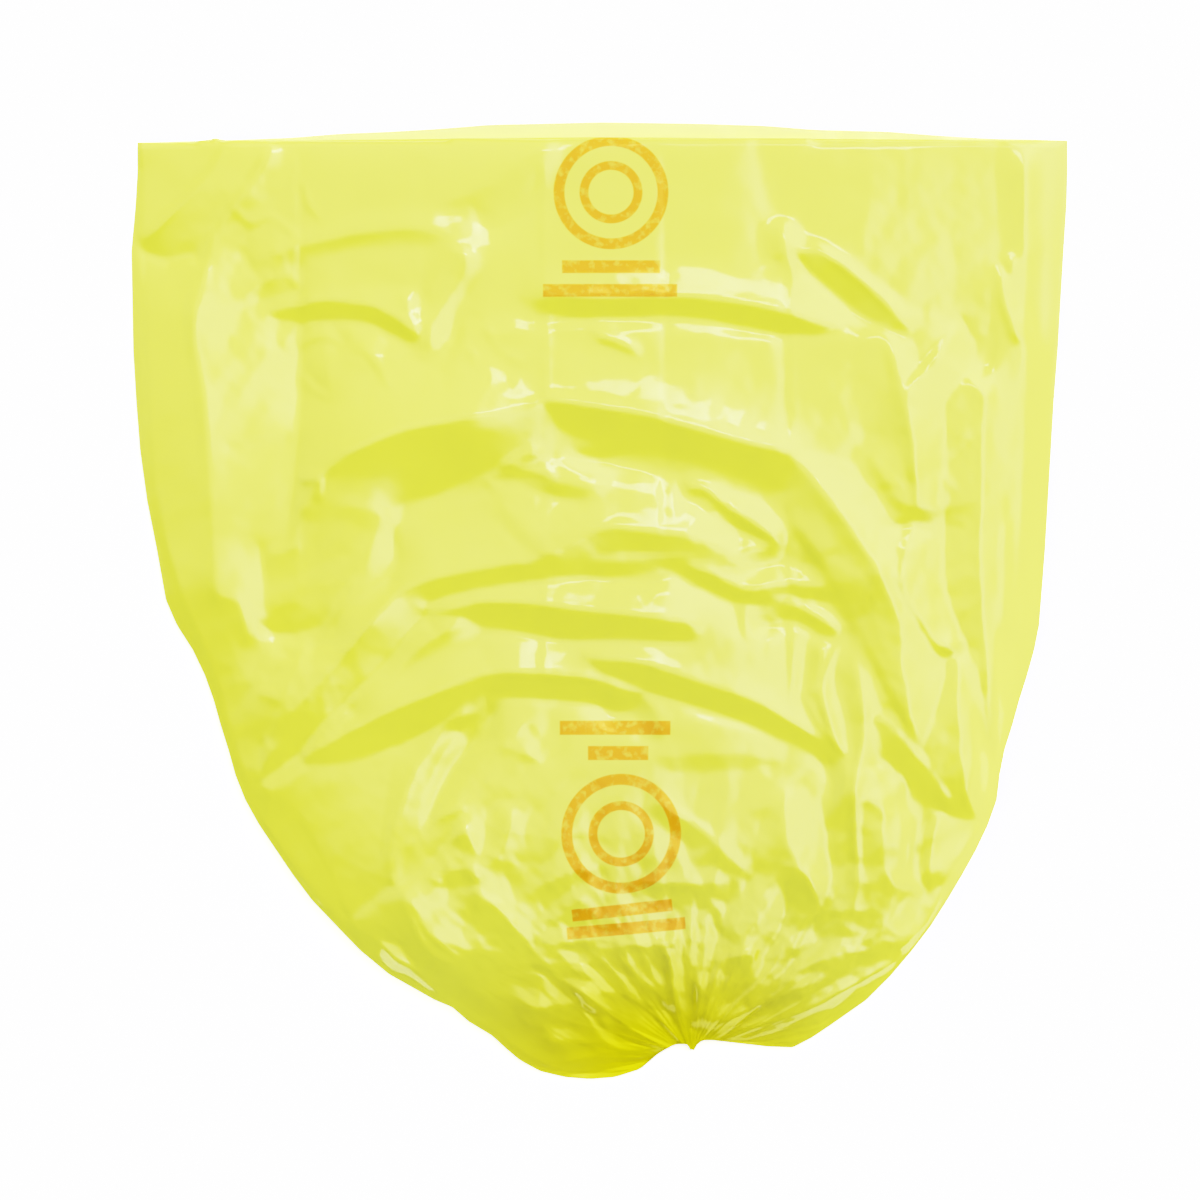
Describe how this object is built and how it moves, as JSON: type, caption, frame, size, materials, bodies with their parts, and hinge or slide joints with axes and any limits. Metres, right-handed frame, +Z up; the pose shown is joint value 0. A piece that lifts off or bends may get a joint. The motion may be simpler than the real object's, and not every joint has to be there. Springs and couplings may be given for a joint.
{
  "type": "infectious linen bag",
  "caption": "Thin film liner bag for soiled linen: a wide lay-flat tube, open at the mouth and gathered to a point at the bottom, lying flat with folds and trapped air.",
  "frame": {"origin": "on the floor under the middle of the bag's box: z = 0 is the back film's resting face, x and y are the middle of the width and of the length as it lies", "axes": "+X across the bag, +Y along it towards the open mouth, +Z up, from the back film that lies on the floor towards the front film"},
  "size_m": [0.78, 0.8, 0.0645],
  "materials": {
    "film": "thin glossy half-clear yellow polyethylene film"
  },
  "bodies": {
    "root": {"bag": "film"}
  },
  "joints": []
}
